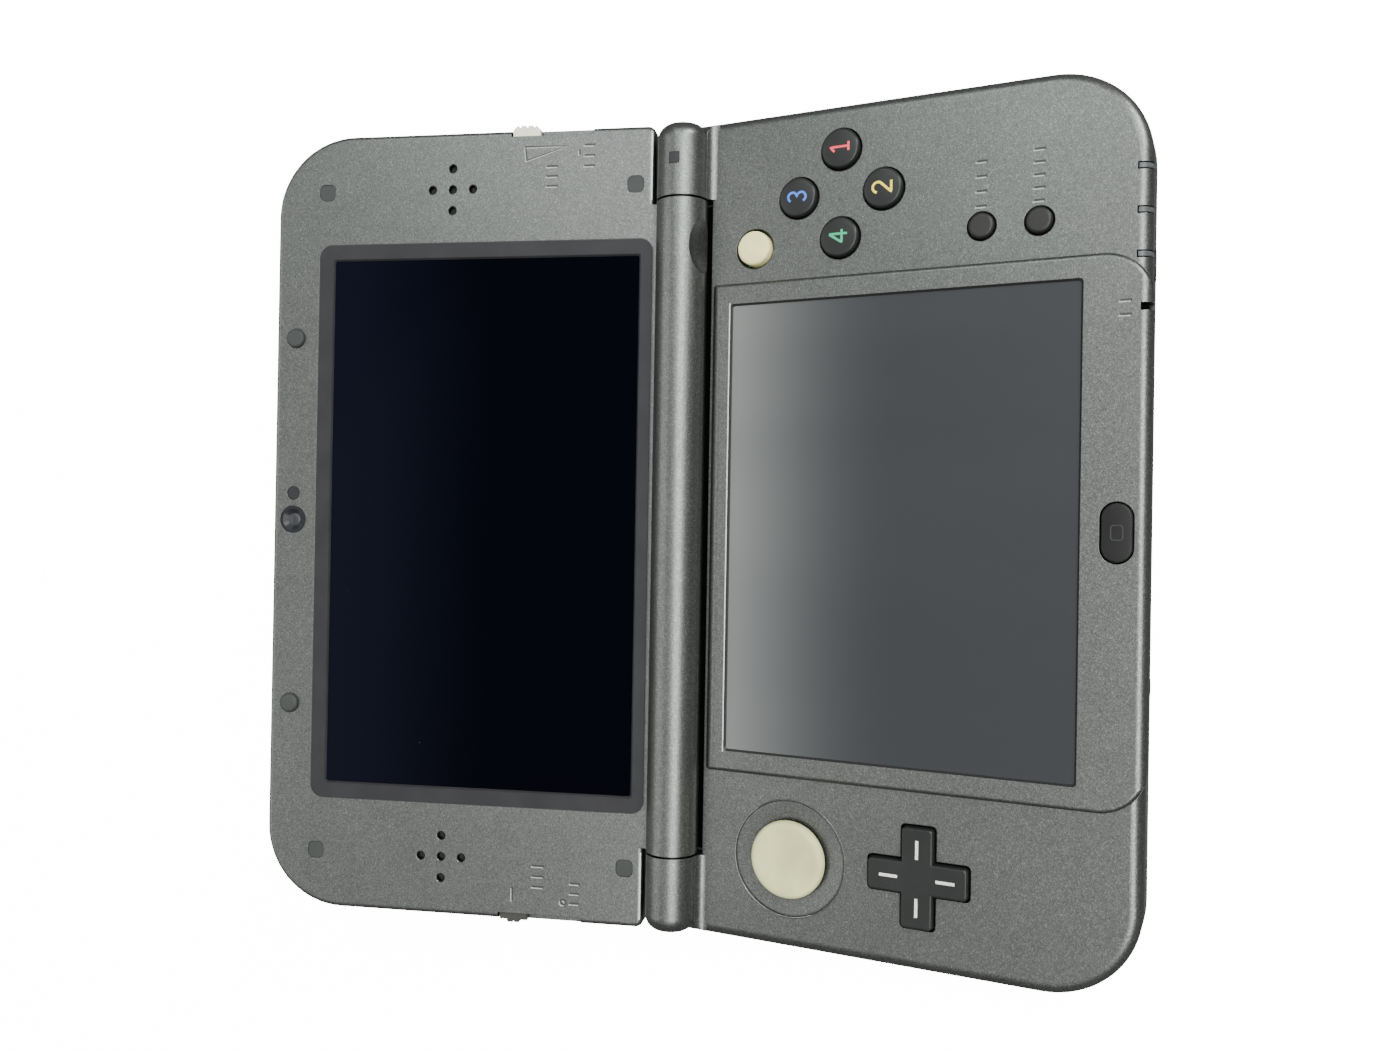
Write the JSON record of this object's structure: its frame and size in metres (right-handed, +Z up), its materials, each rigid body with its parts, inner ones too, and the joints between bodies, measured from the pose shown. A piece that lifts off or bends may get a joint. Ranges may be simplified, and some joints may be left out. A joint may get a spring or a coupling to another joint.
{
  "type": "clamshell handheld game console",
  "caption": "Handheld game console with two screens and a hinged lid, shown open, with pads, keys, shoulder buttons and sliders that move.",
  "frame": {"origin": "centre of the flat underside of the base, which lies on the table", "axes": "+X to the player's right, +Y from the front edge to the hinge, +Z up out of the deck"},
  "size_m": [0.1615, 0.1712, 0.0372],
  "materials": {
    "metallic_shell": "satin metallic grey coat with a fine sparkle",
    "dark_belt": "satin moulded belt",
    "screen_frame": "matte dark frame",
    "upper_screen": "black polished screen",
    "touch_panel": "grey satin film over glass",
    "lens_black": "polished black",
    "infrared_red": "deep red-black window",
    "circuit_board": "green lacquer",
    "black_plastic": "matte black",
    "dark_plastic": "satin dark grey",
    "cream_plastic": "satin cream",
    "grey_plastic": "satin dark grey",
    "dark_rubber": "matte rubber",
    "steel": "plain steel",
    "bush_plastic": "plain nylon",
    "ribbon_film": "amber film",
    "battery_foil": "foil wrap",
    "light_guide": "smoked clear plastic",
    "grey_cap": "matte grey-beige cap",
    "cream_cap": "matte cream cap",
    "key_black": "satin black",
    "key_dark": "satin dark grey",
    "silicone": "silicone sheet"
  },
  "bodies": {
    "base": {"deck_shell": "metallic_shell", "centre_panel": "metallic_shell", "mid_case": "dark_belt", "bottom_cover": "metallic_shell", "touch_panel": "touch_panel", "lower_screen": "upper_screen", "mainboard": "circuit_board", "battery": "battery_foil", "case_screws": "steel", "cover_screws": "steel", "card_cage": "steel", "headphone_socket": "black_plastic", "charge_socket": "black_plastic", "light_guides": "light_guide", "status_light": "light_guide", "microphone": "black_plastic", "pad_housing": "black_plastic", "button_membranes": "silicone", "shoulder_pins": "steel", "infrared_window": "infrared_red", "hinge_pins": "steel"},
    "lid": {"lid_outer_shell": "metallic_shell", "lid_bezel": "metallic_shell", "hinge_barrel": "metallic_shell", "screen_frame": "screen_frame", "upper_screen": "upper_screen", "inner_camera": "lens_black", "infrared_light": "infrared_red", "outer_cameras": "lens_black", "camera_board": "circuit_board", "speakers": "black_plastic", "speaker_mesh": "black_plastic", "lid_bumpers": "dark_rubber", "screw_covers": "dark_rubber", "lid_screws": "steel", "hinge_clutch": "steel", "hinge_bush": "bush_plastic", "display_ribbon": "ribbon_film"},
    "depth_slider": {"depth_slider": "cream_plastic"},
    "volume_slider": {"volume_slider": "grey_plastic"},
    "pad_x_slider": {"pad_x_slider": "bush_plastic"},
    "circle_pad": {"pad_y_slider": "bush_plastic", "circle_pad": "grey_cap"},
    "cross_pad_pivot": {"cross_pad_pivot": "steel"},
    "cross_pad": {"cross_pad": "key_black"},
    "small_stick_post": {"small_stick_post": "steel"},
    "small_stick": {"small_stick": "cream_cap"},
    "button_right": {"button_right": "key_black"},
    "button_bottom": {"button_bottom": "key_black"},
    "button_top": {"button_top": "key_black"},
    "button_left": {"button_left": "key_black"},
    "start_button": {"start_button": "key_dark"},
    "select_button": {"select_button": "key_dark"},
    "home_button": {"home_button": "key_black"},
    "power_button": {"power_button": "dark_plastic"},
    "shoulder_left": {"shoulder_left": "dark_plastic"},
    "shoulder_right": {"shoulder_right": "dark_plastic"},
    "trigger_left": {"trigger_left": "dark_plastic"},
    "trigger_right": {"trigger_right": "dark_plastic"},
    "stylus": {"stylus": "dark_plastic"}
  },
  "joints": [
    {"name": "lid_hinge", "type": "hinge", "parent": "base", "child": "lid", "pos_m": [0, 0.04035, 0.0131], "axis": [1, 0, 0], "range_deg": [0, 163.5]},
    {"name": "depth_slide", "type": "slide", "parent": "lid", "child": "depth_slider", "axis": [0, -0.9588, -0.284], "range_m": [0, 0.0108]},
    {"name": "volume_slide", "type": "slide", "parent": "lid", "child": "volume_slider", "axis": [0, -0.9588, -0.284], "range_m": [0, 0.0108]},
    {"name": "circle_pad_x", "type": "slide", "parent": "base", "child": "pad_x_slider", "axis": [1, 0, 0], "range_m": [-0.0028, 0.0028], "stiffness_N_per_m": 60},
    {"name": "circle_pad_y", "type": "slide", "parent": "pad_x_slider", "child": "circle_pad", "axis": [0, 1, 0], "range_m": [-0.0028, 0.0028], "stiffness_N_per_m": 60},
    {"name": "cross_pad_rock_x", "type": "hinge", "parent": "base", "child": "cross_pad_pivot", "pos_m": [-0.06285, -0.00865, 0.00905], "axis": [1, 0, 0], "range_deg": [-2.6, 2.6], "stiffness_Nm_per_rad": 0.15},
    {"name": "cross_pad_rock_y", "type": "hinge", "parent": "cross_pad_pivot", "child": "cross_pad", "pos_m": [-0.06285, -0.00865, 0.00905], "axis": [0, 1, 0], "range_deg": [-2.6, 2.6], "stiffness_Nm_per_rad": 0.15},
    {"name": "small_stick_x", "type": "hinge", "parent": "base", "child": "small_stick_post", "pos_m": [0.05405, 0.02525, 0.0082], "axis": [1, 0, 0], "range_deg": [-3, 3], "stiffness_Nm_per_rad": 0.06},
    {"name": "small_stick_y", "type": "hinge", "parent": "small_stick_post", "child": "small_stick", "pos_m": [0.05405, 0.02525, 0.0082], "axis": [0, 1, 0], "range_deg": [-3, 3], "stiffness_Nm_per_rad": 0.06},
    {"name": "button_right_press", "type": "slide", "parent": "base", "child": "button_right", "axis": [0, 0, -1], "range_m": [0, 0.0008], "stiffness_N_per_m": 800, "springref_m": -0.0003},
    {"name": "button_bottom_press", "type": "slide", "parent": "base", "child": "button_bottom", "axis": [0, 0, -1], "range_m": [0, 0.0008], "stiffness_N_per_m": 800, "springref_m": -0.0003},
    {"name": "button_top_press", "type": "slide", "parent": "base", "child": "button_top", "axis": [0, 0, -1], "range_m": [0, 0.0008], "stiffness_N_per_m": 800, "springref_m": -0.0003},
    {"name": "button_left_press", "type": "slide", "parent": "base", "child": "button_left", "axis": [0, 0, -1], "range_m": [0, 0.0008], "stiffness_N_per_m": 800, "springref_m": -0.0003},
    {"name": "start_button_press", "type": "slide", "parent": "base", "child": "start_button", "axis": [0, 0, -1], "range_m": [0, 0.0005], "stiffness_N_per_m": 900, "springref_m": -0.0003},
    {"name": "select_button_press", "type": "slide", "parent": "base", "child": "select_button", "axis": [0, 0, -1], "range_m": [0, 0.0005], "stiffness_N_per_m": 900, "springref_m": -0.0003},
    {"name": "home_button_press", "type": "slide", "parent": "base", "child": "home_button", "axis": [0, 0, -1], "range_m": [0, 0.0004], "stiffness_N_per_m": 900, "springref_m": -0.0003},
    {"name": "power_button_press", "type": "slide", "parent": "base", "child": "power_button", "axis": [0, 1, 0], "range_m": [0, 0.0003], "stiffness_N_per_m": 900, "springref_m": -0.0003},
    {"name": "shoulder_left_press", "type": "hinge", "parent": "base", "child": "shoulder_left", "pos_m": [-0.0565, 0.04355, 0.005], "axis": [0, 0, 1], "range_deg": [0, 1.8], "stiffness_Nm_per_rad": 0.4, "springref_deg": -1.15},
    {"name": "shoulder_right_press", "type": "hinge", "parent": "base", "child": "shoulder_right", "pos_m": [0.0565, 0.04355, 0.005], "axis": [0, 0, -1], "range_deg": [0, 1.8], "stiffness_Nm_per_rad": 0.4, "springref_deg": -1.15},
    {"name": "trigger_left_press", "type": "slide", "parent": "base", "child": "trigger_left", "axis": [0, -1, 0], "range_m": [0, 0.0008], "stiffness_N_per_m": 800, "springref_m": -0.0003},
    {"name": "trigger_right_press", "type": "slide", "parent": "base", "child": "trigger_right", "axis": [0, -1, 0], "range_m": [0, 0.0008], "stiffness_N_per_m": 800, "springref_m": -0.0003},
    {"name": "stylus_slide", "type": "slide", "parent": "base", "child": "stylus", "axis": [0, -1, 0], "range_m": [0, 0.07]}
  ]
}
